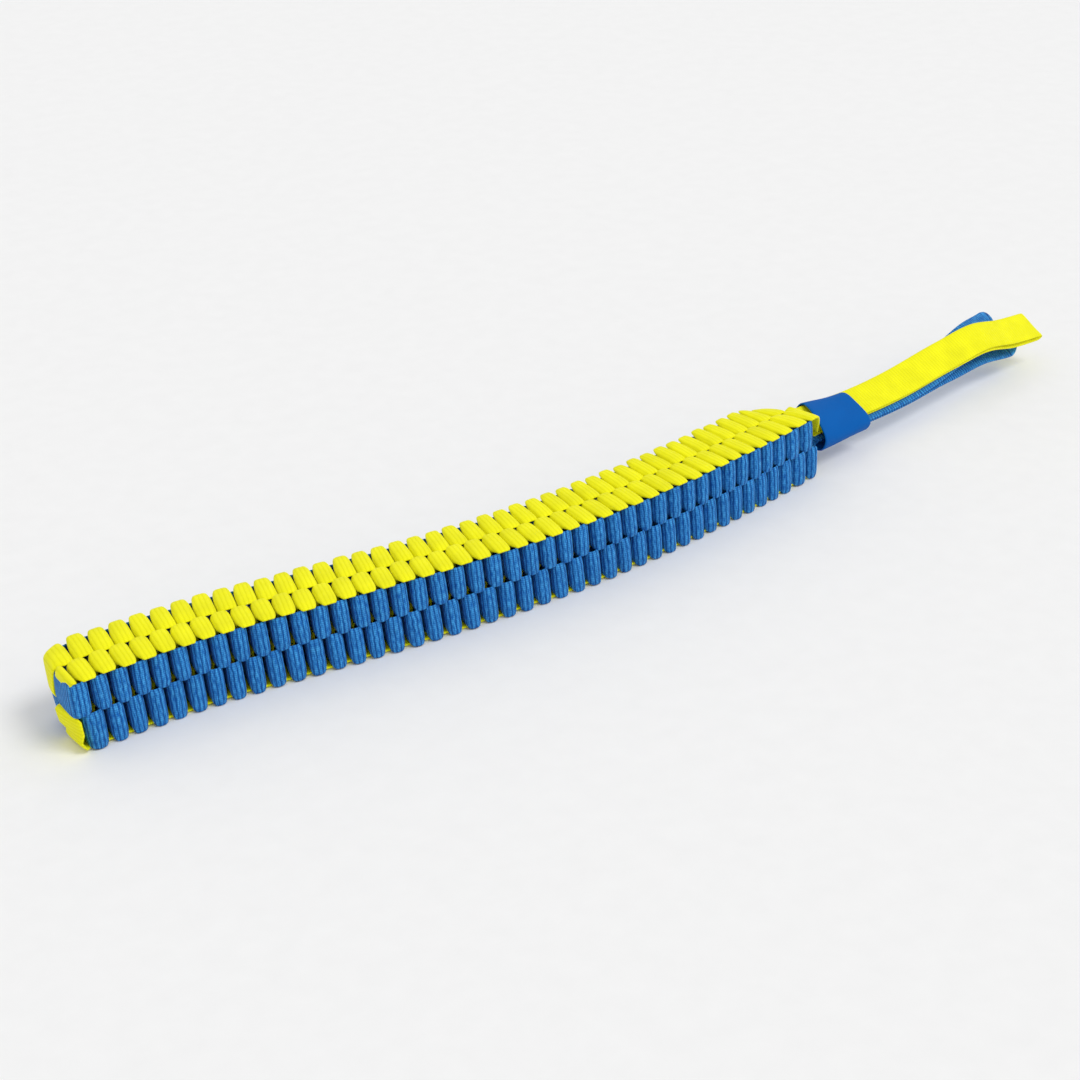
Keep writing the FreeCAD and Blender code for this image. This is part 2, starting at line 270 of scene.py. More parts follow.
# ---- materials ------------------------------------------------------------------------
class Graph:
    """Short names for building a material's nodes."""

    def __init__(self, name):
        self.material = bpy.data.materials.new(name)
        self.material.use_nodes = True
        self.tree = self.material.node_tree
        self.shader = self.tree.nodes["Principled BSDF"]

    def put(self, socket, value):
        if isinstance(value, bpy.types.NodeSocket):
            self.tree.links.new(value, socket)
        else:
            socket.default_value = value

    def math(self, operation, *values):
        node = self.tree.nodes.new("ShaderNodeMath")
        node.operation = operation
        for i, value in enumerate(values):
            self.put(node.inputs[i], value)
        return node.outputs[0]

    def noise(self, vector, scale, detail=2.0, roughness=0.5):
        node = self.tree.nodes.new("ShaderNodeTexNoise")
        self.put(node.inputs["Vector"], vector)
        node.inputs["Scale"].default_value = scale
        node.inputs["Detail"].default_value = detail
        node.inputs["Roughness"].default_value = roughness
        return node.outputs["Fac"]

    def mix(self, share, a, b):
        node = self.tree.nodes.new("ShaderNodeMix")
        node.data_type = "RGBA"
        self.put(node.inputs[0], share)
        self.put(node.inputs[6], a)
        self.put(node.inputs[7], b)
        return node.outputs[2]

    def ramp(self, value, low, high):
        node = self.tree.nodes.new("ShaderNodeMapRange")
        self.put(node.inputs["Value"], value)
        node.inputs["To Min"].default_value = low
        node.inputs["To Max"].default_value = high
        return node.outputs[0]

    def attribute(self, name):
        node = self.tree.nodes.new("ShaderNodeAttribute")
        node.attribute_name = name
        return node.outputs["Vector"]

    def split(self, vector):
        node = self.tree.nodes.new("ShaderNodeSeparateXYZ")
        self.put(node.inputs[0], vector)
        return node.outputs

    def join(self, x, y, z):
        node = self.tree.nodes.new("ShaderNodeCombineXYZ")
        for i, value in enumerate((x, y, z)):
            self.put(node.inputs[i], value)
        return node.outputs[0]

    def bump(self, height, strength, distance):
        node = self.tree.nodes.new("ShaderNodeBump")
        node.inputs["Strength"].default_value = strength
        node.inputs["Distance"].default_value = distance
        self.put(node.inputs["Height"], height)
        self.put(self.shader.inputs["Normal"], node.outputs[0])


COLUMN_PITCH = 0.88        # of the warp columns, across the strap
RIB_PITCH = 1.75           # of the weft ribs, along it
RIB_WANDER = 0.7
HIGHLIGHT_STREAK_SCALE = (0.35, 2.4)  # painted highlight streaks: across, along
# For each strap: a painted shade colour for the gaps between threads, the threads' own colour, a
# painted highlight colour and its strength, and the bump's relief.
WEBBING = {
    "yellow_webbing": {
        "gap": (0.80, 0.78, 0.003, 1), "thread": (0.95, 0.94, 0.005, 1),
        "painted_highlight": (0.97, 0.87, 0.006, 1), "lights": 0.3, "relief": 0.45,
    },
    "blue_webbing": {
        "gap": (0.001, 0.026, 0.17, 1), "thread": (0.002, 0.130, 0.50, 1),
        "painted_highlight": (0.07, 0.41, 0.84, 1), "lights": 1.15, "relief": 0.9,
    },
}


def webbing(name):
    """Woven strap: ribs across it, each crossed by the fine columns that run along it. The gaps
    between threads are painted darker as shade, and bright streaks are painted on as highlights.
    """
    look = WEBBING[name]
    g = Graph(name)
    place = g.attribute("weave")
    across, along, _ = g.split(place)
    wander = g.math("MULTIPLY", g.noise(place, 0.5, 2.0), RIB_WANDER)
    rib = g.math("ABSOLUTE", g.math("SINE", g.math(
        "MULTIPLY", g.math("ADD", along, wander), math.pi / RIB_PITCH)))
    column = g.math("ABSOLUTE", g.math("SINE", g.math("MULTIPLY", across, math.pi / COLUMN_PITCH)))
    dots = g.math("MULTIPLY", g.math("POWER", rib, 0.8), g.ramp(column, 0.45, 1.0))
    highlight_streak_noise = g.noise(g.join(g.math("MULTIPLY", across, HIGHLIGHT_STREAK_SCALE[0]),
                            g.math("MULTIPLY", along, HIGHLIGHT_STREAK_SCALE[1]), 0.0), 1.0, 3.0)
    patches = g.noise(place, 0.09, 2.0)
    # The gaps between threads are painted darker, as shade.
    base = g.mix(g.math("POWER", dots, 0.6), look["gap"], look["thread"])
    # Bright streaks are painted highlights, standing in for the threads' sheen.
    highlight_streak = g.math("MAXIMUM", g.ramp(highlight_streak_noise, -0.9, 1.7), 0.0)
    lights = g.math("MULTIPLY", g.math("MULTIPLY", highlight_streak, dots), 1.3 * look["lights"])
    with_painted_highlight = g.mix(g.math("MINIMUM", lights, 1.0), base, look["painted_highlight"])
    shaded = g.tree.nodes.new("ShaderNodeVectorMath")
    shaded.operation = "SCALE"
    g.put(shaded.inputs[0], with_painted_highlight)
    g.put(shaded.inputs["Scale"], g.ramp(patches, 0.82, 1.12))
    g.put(g.shader.inputs["Base Color"], shaded.outputs[0])
    g.put(g.shader.inputs["Roughness"], g.ramp(dots, 0.80, 0.55))
    g.shader.inputs["Sheen Weight"].default_value = 0.04
    g.shader.inputs["Sheen Roughness"].default_value = 0.4
    g.shader.inputs["Specular IOR Level"].default_value = 0.14
    g.bump(g.math("ADD", g.math("MULTIPLY", rib, 0.9), g.math("MULTIPLY", column, 0.25)),
           look["relief"], 0.0003)
    return g.material


def shrink_tube(name):
    """Matte shrink tube: faint lengthwise draw marks and a soft, uneven gloss."""
    g = Graph(name)
    where = g.tree.nodes.new("ShaderNodeTexCoord").outputs["Object"]
    cloud = g.noise(where, 60.0, 3.0)
    grain = g.noise(where, 2600.0, 2.0)
    base = g.mix(cloud, (0.0, 0.088, 0.36, 1), (0.0, 0.122, 0.47, 1))
    g.put(g.shader.inputs["Base Color"], base)
    g.put(g.shader.inputs["Roughness"], g.ramp(cloud, 0.50, 0.66))
    g.shader.inputs["Specular IOR Level"].default_value = 0.08
    g.bump(g.math("ADD", g.math("MULTIPLY", grain, 0.3), cloud), 0.25, 0.0003)
    return g.material


def sewing_thread(name):
    """Bonded thread with its twist."""
    g = Graph(name)
    across, along, _ = g.split(g.attribute("weave"))
    twist = g.math("SINE", g.math("MULTIPLY", g.math("ADD", across, along), 9.0))
    base = g.mix(g.ramp(twist, 0.0, 1.0), (0.004, 0.05, 0.22, 1), (0.012, 0.11, 0.40, 1))
    g.put(g.shader.inputs["Base Color"], base)
    g.shader.inputs["Roughness"].default_value = 0.6
    g.bump(twist, 0.5, 0.0001)
    return g.material


MAKERS = {"yellow_webbing": webbing, "blue_webbing": webbing, "sleeve": shrink_tube,
          "thread": sewing_thread}
MADE = {}


def material(name):
    if name not in MADE:
        MADE[name] = MAKERS[name](name)
    return MADE[name]


# ---- braid ----------------------------------------------------------------------------
END_STANDOFF = 0.7
END_FILL = 2.0             # the last front fold swells to meet the plate that closes the end
END_SQUARENESS = {"yellow_front": 5.0, "yellow_back": 3.0, "blue_upper": 3.0,
                  "blue_lower": 3.0}
TAIL_HALF = 1.1
# The plates that close the free end. Each has its inner and outer edge where it leaves its
# last fold, the same where it dives under the next one, and its slope across.
END_PLATES = {
    "yellow_front": ((-0.15, 15.4), (-0.15, 15.5), -0.2),
    "yellow_back": ((2.2, 15.2), (4.4, 13.4), 0.0),
    "blue_upper": ((-0.4, 14.3), (-0.4, 12.4), 0.0),
    "blue_lower": ((0.4, 15.2), (0.4, 14.6), 0.0),
}
# How much sooner a plate has crossed to its outer side than an ordinary leg, in height.
END_OVERRUN = {"yellow_front": 0.0, "yellow_back": 0.0, "blue_upper": 4.6, "blue_lower": -1.0}
TUCK_HEIGHT = 10.5         # where the other three strands end, under their last folds
TUCK_OUTER = 11.5
TAIL_SETBACK = 0.9         # the front yellow strand ends in a short stub, curled over
TAIL_HEIGHT = 12.6
TAIL_TURN = 0.9
TAIL_STEPS = 9
TAIL_INNER = 0.2
TAIL_OUTER = 13.8
TAIL_FLARE = 1.5
TAIL_SKEW = -0.05
SHIFT_SPREAD = 0.2         # how unevenly the folds are pulled tight
TOP_SPREAD = (-0.3, 0.25)
SKEW_SPREAD = 0.03
REACH_SPREAD = (-0.2, 0.12)


def passage(height):
    """How far a strand has crossed from one side of its layer to the other, -1 to 1."""
    return math.sin(math.pi / 2 * max(-1, min(1, height / CROSS_HALF)))


def strand_path(name):
    """One strand's stations: place along the bar, height, lane edges, dome, skew and side."""
    strand = STRANDS[name]
    look = COLOURS[strand["colour"]]
    level = look["level"]
    rng = random.Random(name)
    stations = []
    knots = []

    def add(s, h, inner, outer, domes=(0.0, 0.0), skew=0.0, side=1):
        stations.append((s, h, inner, outer, *domes, skew, side))

    def crown(side, first, last, height, power, turn_from=0.0):
        """A fold over the strand that crosses here."""
        middle = (first + last) / 2
        half = (last - first) / 2
        shift = rng.uniform(-SHIFT_SPREAD, SHIFT_SPREAD)
        top = height + rng.uniform(*TOP_SPREAD)
        skew = rng.uniform(-SKEW_SPREAD, SKEW_SPREAD)
        reach = strand["reach"][side] + rng.uniform(*REACH_SPREAD)
        last_fold = last > BAR_LENGTH - LAYER
        for step in range(CROWN_STEPS + 1):
            turn = math.pi * (turn_from + (1 - turn_from) * step / CROWN_STEPS)
            x = -math.copysign(abs(math.cos(turn)) ** (2 / power), math.cos(turn))
            up = abs(math.sin(turn)) ** (2 / power)
            outer = leg + (reach - leg) * (1 - abs(x) ** 9)
            inner = CROWN_INNER + (LEG_INNER - CROWN_INNER) * abs(x) ** 6
            if last_fold and x > 0:
                plate_in, plate_out, plate_skew = end_plate(name, LEG_TOP)
                inner = lerp(CROWN_INNER, plate_in, x)
                outer = lerp(reach, plate_out, x)
                skew = lerp(skew, plate_skew, x)
            add(middle + half * x + shift * up, side * (LEG_TOP + (top - LEG_TOP) * up), inner,
                outer, (DOME_INNER * up, DOME_OUTER * up), skew * up, side)

    last = LAYERS - 1
    leg = look["leg"]
    for k in range(LAYERS):
        start = strand["first"] * (1 if k % 2 == 0 else -1)
        at = (k + 0.5) * LAYER
        if k == 0:
            crown(start, at + level - 2 * FIRST_CROWN_HALF, at + level, CROWN_TOP,
                  look["squareness"], turn_from=0.5)
        for height in CROSS_HEIGHTS:
            swing = passage(height)
            if height == 0:
                knots.append(len(stations))
            if k == last:
                inner, outer, skew = end_plate(name, height)
                swing = passage(height + END_OVERRUN[name])
                above = max(0.0, swing)
                add(at + level * swing + END_STANDOFF * above, start * height,
                    lerp(LEG_INNER, inner, above), lerp(leg, outer, above), skew=skew * above,
                    side=start)
            else:
                add(at + level * swing, start * height, LEG_INNER, leg, side=start)
        if k < last:
            extra = END_STANDOFF if k == last - 1 else 0.0
            if name == "blue_lower" and k == last - 2:
                extra = END_FILL
            crown(-start, at - level, at + LAYER + level + extra,
                  CROWN_TOP,
                  END_SQUARENESS[name] if k == last - 1 else look["squareness"])
        elif name == "yellow_front":
            middle = at - level + END_STANDOFF + TAIL_SETBACK
            for turn in np.linspace(0, math.pi * TAIL_TURN, TAIL_STEPS):
                add(middle + TAIL_HALF * math.cos(turn),
                    TAIL_HEIGHT + (CROWN_TOP - TAIL_HEIGHT) * math.sin(turn) ** 0.7, TAIL_INNER,
                    TAIL_OUTER + TAIL_FLARE * math.sin(turn), skew=TAIL_SKEW, side=start)
        else:
            add(at - level, -start * TUCK_HEIGHT, LEG_INNER, TUCK_OUTER, side=start)
    return np.array(stations), knots


def end_plate(name, height):
    share = float(np.clip(1 - height / LEG_TOP, 0, 1))
    (inner_a, outer_a), (inner_b, outer_b), skew = END_PLATES[name]
    return lerp(inner_a, inner_b, share), lerp(outer_a, outer_b, share), skew


COLUMNS = 9
EDGE_ROUND = 0.28
EDGE_THIN = 0.45           # a strap is this much thinner at its selvedge


def section_slots(spread):
    """The places round a strap's section: share across, and face (1 top, -1 under, 0 edge)."""
    return [(t, 1) for t in spread] + [(1, 0)] + [(t, -1) for t in spread[::-1]] + [(0, 0)]


def beyond_edge(t, face):
    """How far an edge point stands out past the strap's flat width."""
    return (EDGE_ROUND if t == 1 else -EDGE_ROUND) if face == 0 else 0


def close_spread():
    """Shares across a strap, closer together towards its edges."""
    return 0.5 - 0.5 * np.cos(np.linspace(0, math.pi, COLUMNS))


def strand_rings(name, stations):
    """Rings of bar coordinates round the strap at each station, and its weave places."""
    strand = STRANDS[name]
    s, h, inner, outer, dome_in, dome_out, skew, side = stations.T
    slope = np.gradient(np.stack([s, h], 1), axis=0)
    length = np.linalg.norm(slope, axis=1)
    slope /= length[:, None]
    travel = np.concatenate([[0], np.cumsum(np.hypot(np.diff(s), np.diff(h)))])
    ring = section_slots(close_spread())
    rings = np.zeros((len(s), len(ring), 3))
    weave = np.zeros_like(rings)
    for j, (t, face) in enumerate(ring):
        edge = abs(2 * t - 1)
        half_t = face * STRAP_T / 2 * (1 - EDGE_THIN * edge**8)
        q = inner + (outer - inner) * t + beyond_edge(t, face)
        drop = (dome_in if t < 0.5 else dome_out) * edge**3
        along = s + slope[:, 1] * half_t + skew * (q - BODY_HALF / 2)
        height = h - slope[:, 0] * half_t - side * drop
        v, w = (strand["half"] * q, height) if strand["across"] == "v" else (
            height, strand["half"] * q)
        rings[:, j] = np.stack([along, v, w], 1)
        weave[:, j] = np.stack([q - BODY_HALF / 2, travel, np.zeros(len(s))], 1)
    return rings, weave


def to_row(rings):
    flat = rings.reshape(-1, 3)
    return bar_point(flat[:, 0], flat[:, 1], flat[:, 2]).reshape(rings.shape)


# ---- sleeve frame ---------------------------------------------------------------------
# Places beyond the bar are given from the loops' swing axis: u towards the tips, c across
# the straps to the back, and n off their faces. The whole stack lies rolled, back edge up.
SWING = joint_at("loops_swing")
ROLL = curve_through((-45, -25, 0, 45, 150), np.radians((31, 30, 25, 31, 31)))
HANDLE_TURN = curve_through((-45, -8, 8, 60, 150), (0, 0, 0.3, 3.4, 9.6))
RISE = curve_through((-45, -30, 0, 32, 70, 98, 118, 148),
                     (0, 0, -0.7, 0.1, 3.6, 5.2, 1.7, -1.2))
PLY = 1.62
ALONG = heading(SLEEVE_HEADING)
BACK = np.array((-ALONG[1], ALONG[0], 0))
UP = np.array((0, 0, 1.0))


def handle_across(u):
    roll = ROLL(np.asarray(u, float))[..., None]
    return BACK * np.cos(roll) + UP * np.sin(roll)


def handle_point(u, c, n):
    """Row-frame points for places in the sleeve and on the hand loops."""
    u, c, n = np.broadcast_arrays(*(np.asarray(x, float) for x in (u, c, n)))
    roll = ROLL(u)[..., None]
    off = UP * np.cos(roll) - BACK * np.sin(roll)
    return (SWING + u[..., None] * ALONG + HANDLE_TURN(u)[..., None] * BACK
            + RISE(u)[..., None] * UP + c[..., None] * handle_across(u) + n[..., None] * off)


FREE_COLUMNS = 15
RIB_RELIEF = 0.07


def free_strap_rings(centres, acrosses, width=STRAP_W):
    """Rings round a free strap, from its centre points and the directions across it."""
    centres = np.asarray(centres, float)
    acrosses = np.asarray(acrosses, float)
    slope = np.gradient(centres, axis=0)
    slope /= np.linalg.norm(slope, axis=1)[:, None]
    acrosses = acrosses - (acrosses * slope).sum(1)[:, None] * slope
    acrosses /= np.linalg.norm(acrosses, axis=1)[:, None]
    normal = np.cross(slope, acrosses)
    travel = np.concatenate([[0], np.cumsum(np.linalg.norm(np.diff(centres, axis=0), axis=1))])
    ribs = RIB_RELIEF * np.abs(np.sin(travel * math.pi / RIB_PITCH))
    ring = section_slots(np.linspace(0, 1, FREE_COLUMNS))
    rings = np.zeros((len(centres), len(ring), 3))
    weave = np.zeros_like(rings)
    for j, (t, face) in enumerate(ring):
        edge = abs(2 * t - 1)
        half_t = face * (STRAP_T / 2 * (1 - 0.5 * edge**10) + ribs)
        side = (t - 0.5) * width + beyond_edge(t, face)
        rings[:, j] = centres + acrosses * np.reshape(side, (-1, 1)) + normal * np.reshape(
            half_t * np.ones(len(centres)), (-1, 1))
        weave[:, j] = np.stack([np.full(len(centres), side), travel, np.zeros(len(centres))], 1)
    return rings, weave


# ---- neck: each strap from the sleeve to the first fold -------------------------------
PLY_OF = {"yellow_front": 1.5, "yellow_back": 0.5, "blue_upper": -0.5, "blue_lower": -1.5}
STAGGER = {"yellow": 1.2, "blue": -1.2}
NECK_BREAK = -20.0


def catmull(points, steps):
    """A smooth line through points, `steps` to each span."""
    points = [np.asarray(p, float) for p in points]
    padded = [2 * points[0] - points[1], *points, 2 * points[-1] - points[-2]]
    out = []
    for i in range(1, len(padded) - 2):
        p0, p1, p2, p3 = padded[i - 1 : i + 3]
        for step in range(steps):
            t = step / steps
            out.append(0.5 * (2 * p1 + (p2 - p0) * t + (2 * p0 - 5 * p1 + 4 * p2 - p3) * t**2
                              + (3 * p1 - p0 - 3 * p2 + p3) * t**3))
    out.append(points[-1])
    return np.array(out)


# Where each strap's back and front edges pass between the sleeve and its first fold, as
# places on the bar (s, v, w), from the sleeve's side on.
NECK_WAY = {
    "yellow_front": [((-8.6, 4.4, 11.8), (-8.4, -10.8, 4.4)),
                     ((-5.6, 2.8, 14.0), (-5.8, -13.2, 9.4)),
                     ((-2.8, 1.0, 15.4), (-3.0, -14.9, 13.8))],
    "yellow_back": [((-9.0, 8.0, 0.0), (-9.0, -2.0, -5.5)),
                    ((-4.8, 11.0, -8.5), (-4.8, -0.4, -10.5)),
                    ((-1.6, 13.6, -14.6), (-1.6, 0.2, -15.0))],
    "blue_upper": [((-8.6, 7.5, 8.0), (-8.6, -3.5, -1.0)),
                   ((-4.8, 10.5, 10.5), (-4.8, 6.0, -0.2)),
                   ((-1.4, 14.4, 13.4), (-1.4, 14.4, 0.4))],
    "blue_lower": [((-8.6, 1.0, -1.5), (-8.6, -7.5, -7.5)),
                   ((-4.8, -8.0, -1.5), (-4.8, -9.5, -11.0)),
                   ((-1.4, -14.6, -0.5), (-1.4, -14.4, -13.5))],
}
NECK_SLEEVE_KEYS = (NECK_BREAK, -25.0, -30.0)
NECK_STEPS = 6


def neck_loft(name, first_station):
    """Rings from inside the sleeve to the first station of the braid."""
    strand = STRANDS[name]
    level = PLY_OF[name] * PLY
    shift = STAGGER[strand["colour"]]
    half = STRAP_W / 2
    back_edge = [handle_point(u, shift + half, level) for u in NECK_SLEEVE_KEYS]
    front_edge = [handle_point(u, shift - half, level) for u in NECK_SLEEVE_KEYS]
    for back, front in NECK_WAY[name]:
        back_edge.append(bar_point([back[0]], [back[1]], [back[2]])[0])
        front_edge.append(bar_point([front[0]], [front[1]], [front[2]])[0])
    s, h, inner, outer = first_station[:4]
    ends = []
    for q in (inner, outer):
        v, w = (strand["half"] * q, h) if strand["across"] == "v" else (h, strand["half"] * q)
        ends.append(bar_point([s], [v], [w])[0])
    last_back, last_front = back_edge[-1], front_edge[-1]
    straight = np.linalg.norm(ends[0] - last_back) + np.linalg.norm(ends[1] - last_front)
    crossed = np.linalg.norm(ends[1] - last_back) + np.linalg.norm(ends[0] - last_front)
    if crossed < straight:
        ends.reverse()
    back_edge.append(ends[0])
    front_edge.append(ends[1])
    a = catmull(back_edge, NECK_STEPS)
    b = catmull(front_edge, NECK_STEPS)
    slope = np.gradient((a + b) / 2, axis=0)
    slope /= np.linalg.norm(slope, axis=1)[:, None]
    across = b - a
    width = np.linalg.norm(across, axis=1)
    across /= width[:, None]
    normal = np.cross(slope, across)
    normal /= np.linalg.norm(normal, axis=1)[:, None]
    centres = (a + b) / 2
    travel = np.concatenate([[0], np.cumsum(np.linalg.norm(np.diff(centres, axis=0), axis=1))])
    ring = section_slots(close_spread())
    rings = np.zeros((len(a), len(ring), 3))
    weave = np.zeros_like(rings)
    for j, (t, face) in enumerate(ring):
        edge = abs(2 * t - 1)
        half_t = face * STRAP_T / 2 * (1 - EDGE_THIN * edge**8)
        side = (t - 0.5) * width + beyond_edge(t, face)
        rings[:, j] = centres + across * side[:, None] + normal * half_t
        weave[:, j] = np.stack([side, travel - travel[-1], np.zeros(len(a))], 1)
    return rings, weave


def match_ring(ring, target):
    """Reorders a ring so that its points run like the target's."""
    size = len(ring)
    best = None
    for flip in (False, True):
        order = list(range(size))[::-1] if flip else list(range(size))
        for turn in range(size):
            trial = order[turn:] + order[:turn]
            cost = np.linalg.norm(ring[trial] - target, axis=1).sum()
            if best is None or cost < best[0]:
                best = (cost, trial)
    return best[1]


BLEND_REACH = 17.0
NECK_BLEND = (-37.5, 3.0)  # from here in the sleeve frame to here along the bar
TURNED_BLENDS = (4,)       # their two bodies are listed from the far body's side


def make_strand(name):
    strand = STRANDS[name]
    stations, knots = strand_path(name)
    rings, weave = strand_rings(name, stations)
    rings = to_row(rings)
    neck, neck_weave = neck_loft(name, stations[0])
    order = match_ring(neck[-1], rings[0])
    neck = neck[:, order]
    neck_weave = neck_weave[:, order]
    rings = np.concatenate([neck[:-1], rings])
    weave = np.concatenate([neck_weave[:-1], weave])
    before = len(neck) - 1
    starts = np.cumsum((0,) + SECTION_LAYERS)
    cuts = [0] + [before + knots[starts[i] + SECTION_LAYERS[i] // 2]
                  for i in range(len(SECTION_LAYERS))] + [len(rings) - 1]
    for i in range(len(cuts) - 1):
        piece = strap_object(f"{name}_strand_{i + 1}", rings[cuts[i] : cuts[i + 1] + 1],
                             weave[cuts[i] : cuts[i + 1] + 1], strand["colour"])
        if i == 0:
            start = handle_point(NECK_BLEND[0], 0, 0)
            end = bar_point([NECK_BLEND[1]], [0.0], [0.0])[0]
            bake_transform(piece)
            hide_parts(f"braid_1_{name}")
        elif i < len(SECTION_LAYERS):
            ends = bar_point([BOUNDS[i] - BLEND_REACH, BOUNDS[i] + BLEND_REACH], [0.0, 0.0],
                             [0.0, 0.0])
            bodies = [(f"braid_{i}", ends[0]), (f"braid_{i + 1}", ends[1])]
            if i in TURNED_BLENDS:
                bodies.reverse()
            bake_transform(piece)
            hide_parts(f"braid_{i + 1}_{name}")
        else:
            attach(piece, f"braid_{i}")
            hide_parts(f"braid_{i}_{name}")


# ---- hand loops -----------------------------------------------------------------------
YELLOW_TIP = 142.0
BLUE_TIP = 123.5
ROOT_END = 13.5
LIFT_END = 29.0
STRAP_STEP = 0.45
TURN_STEPS = 26
YELLOW_BEND = 2.6          # how far the tip's rounded bend reaches
BLUE_BEND = 3.2
SWING_BLEND = (-3.0, 12.5)


def loop_path(tip, bend, upper_n, lower_n, upper_c, lower_c):
    """A strap's way from inside the sleeve out to its tip and back, upper ply first."""
    out = np.arange(NECK_BREAK, tip - bend, STRAP_STEP)
    turn = np.linspace(0, math.pi, TURN_STEPS)[1:-1]
    n_top, n_low = upper_n(tip - bend), lower_n(tip - bend)
    c_top, c_low = upper_c(tip - bend), lower_c(tip - bend)
    u = np.concatenate([out, tip - bend + bend * np.sin(turn), out[::-1]])
    n = np.concatenate([upper_n(out), (n_top + n_low) / 2 + (n_top - n_low) / 2 * np.cos(turn),
                        lower_n(out[::-1])])
    c = np.concatenate([upper_c(out), lerp(c_top, c_low, smooth(turn / math.pi)),
                        lower_c(out[::-1])])
    return free_strap_rings(handle_point(u, c, n), handle_across(u)), u


YELLOW_PLIES = {
    "upper_n": curve_through((-40, 10, 60, 100, 125, 141), (2.43, 2.43, 2.5, 2.5, 2.1, 1.7)),
    "lower_n": curve_through((-40, 10, 60, 100, 125, 141), (0.81, 0.81, 0.85, 0.6, -0.7, -0.9)),
    "upper_c": curve_through((-40, 10, 60, 100, 141), (1.2, 1.2, 0.9, 0.3, 0.0)),
    "lower_c": curve_through((-40, 10, 60, 100, 141), (1.2, 1.2, 0.8, -0.3, -0.5)),
}
BLUE_PLIES = {
    "upper_n": curve_through((-40, 10, 60, 92, 120), (-0.81, -0.81, -1.1, -2.4, -2.6)),
    "lower_n": curve_through((-40, 10, 55, 92, 120), (-2.43, -2.43, -3.6, -7.2, -6.4)),
    "upper_c": curve_through((-40, 10, 62, 92, 120), (-1.2, -1.2, -0.6, 3.6, 9.6)),
    "lower_c": curve_through((-40, 10, 50, 90, 120), (-1.2, -1.2, -1.8, -2.2, -1.6)),
}


def handle_place(u):
    return tuple(handle_point(u, 0, 0) * MM)


def make_loops():
    (rings, weave), u = loop_path(YELLOW_TIP, YELLOW_BEND, **YELLOW_PLIES)
    beyond = np.flatnonzero(u > ROOT_END)
    cuts = [0, beyond[0], beyond[-1], len(u) - 1]
    names = ("yellow_loop_root_upper", "yellow_loop_strap", "yellow_loop_root_lower")
    parts = [strap_object(name, rings[a : b + 1], weave[a : b + 1], "yellow")
             for name, a, b in zip(names, cuts, cuts[1:])]
    for root, ply in ((parts[0], "upper"), (parts[2], "lower")):
        handle_place(SWING_BLEND[0])
        handle_place(SWING_BLEND[1])
        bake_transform(root)
        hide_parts(f"neck_yellow_{ply}_ply", "yellow_loop_root")
    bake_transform(parts[1], "blue_loop", "yellow_loop", start=handle_place(ROOT_END + 0.5),
             end=handle_place(LIFT_END))
    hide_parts("yellow_loop_upper_ply", "yellow_loop_lower_ply", "yellow_loop_tip")

    (rings, weave), u = loop_path(BLUE_TIP, BLUE_BEND, **BLUE_PLIES)
    loop = strap_object("blue_loop_strap", rings, weave, "blue")
    handle_place(SWING_BLEND[0])
    handle_place(SWING_BLEND[1])
    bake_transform(loop)
    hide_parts("neck_blue_upper_ply", "neck_blue_lower_ply", "blue_loop_upper_ply",
                "blue_loop_lower_ply", "blue_loop_tip")


# ---- sleeve and stitches --------------------------------------------------------------
SLEEVE_WALL = 0.65
SLEEVE_SHIFT = -1.4
SLEEVE_SLANT = 0.12
SLEEVE_AROUND = 72
SLEEVE_ALONG = 44
SLEEVE_WIDE = curve_through((0, 0.3, 0.7, 1), (12.1, 11.9, 11.3, 10.9))
SLEEVE_TALL = curve_through((0, 0.3, 0.7, 1), (7.6, 6.6, 6.2, 6.6))


SLEEVE_SQUARENESS = 2 / 2.3
RIM_ROUND = 0.25


def squared(wave, power):
    """A sine or cosine pushed towards a square's corners."""
    return np.sign(wave) * np.abs(wave) ** power


def sleeve_ring(share, inset):
    """One ring of the sleeve. Its rims wave a little, as a shrunk tube's do."""
    turns = np.arange(SLEEVE_AROUND) / SLEEVE_AROUND * 2 * math.pi
    wide = SLEEVE_WIDE(share) - inset
    tall = SLEEVE_TALL(share) - inset
    c = squared(np.cos(turns), SLEEVE_SQUARENESS) * wide
    n = squared(np.sin(turns), SLEEVE_SQUARENESS) * tall
    pinch = 0.35 * np.sin(3 * turns + 1.0 + 4 * share) + 0.2 * np.sin(5 * turns - 3 * share)
    n = n + pinch * 0.4
    c = c + pinch * 0.25
    wave = 0.5 * np.sin(2 * turns + 0.6) + 0.25 * np.sin(3 * turns)
    rim = (2 * share - 1) ** 3
    u = (SLEEVE_START + (SLEEVE_END - SLEEVE_START) * share + wave * abs(rim)
         + SLEEVE_SLANT * c * (1 - 2 * share))
    return handle_point(u, c + SLEEVE_SHIFT, n)


def make_sleeve():
    shares = np.linspace(0, 1, SLEEVE_ALONG)
    outer = [sleeve_ring(share, RIM_ROUND if share in (0, 1) else 0.0) for share in shares]
    inner = [sleeve_ring(share, SLEEVE_WALL) for share in shares[::-1]]
    rings = np.array(outer + inner)
    faces, _ = tube_faces(len(rings), SLEEVE_AROUND, closed=True)
    points = rings.reshape(-1, 3)
    if signed_volume(points - points.mean(0), faces) < 0:
        faces = [f[::-1] for f in faces]
    tube = mesh_object("shrink_sleeve_tube", points, faces)
    tube.data.materials.append(material("sleeve"))
    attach(tube, "neck")
    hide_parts("shrink_sleeve")


STITCH_PLACES = [(u, c) for u in (-31.5, -20.5, -9.5) for c in (-4.0, 4.0)]
STITCH_R = 0.32
STITCH_LENGTH = 3.6
STITCH_HALF = 4.1
STITCH_AROUND = 10
STITCH_STEPS = 40
STITCH_SQUARENESS = 2 / 4


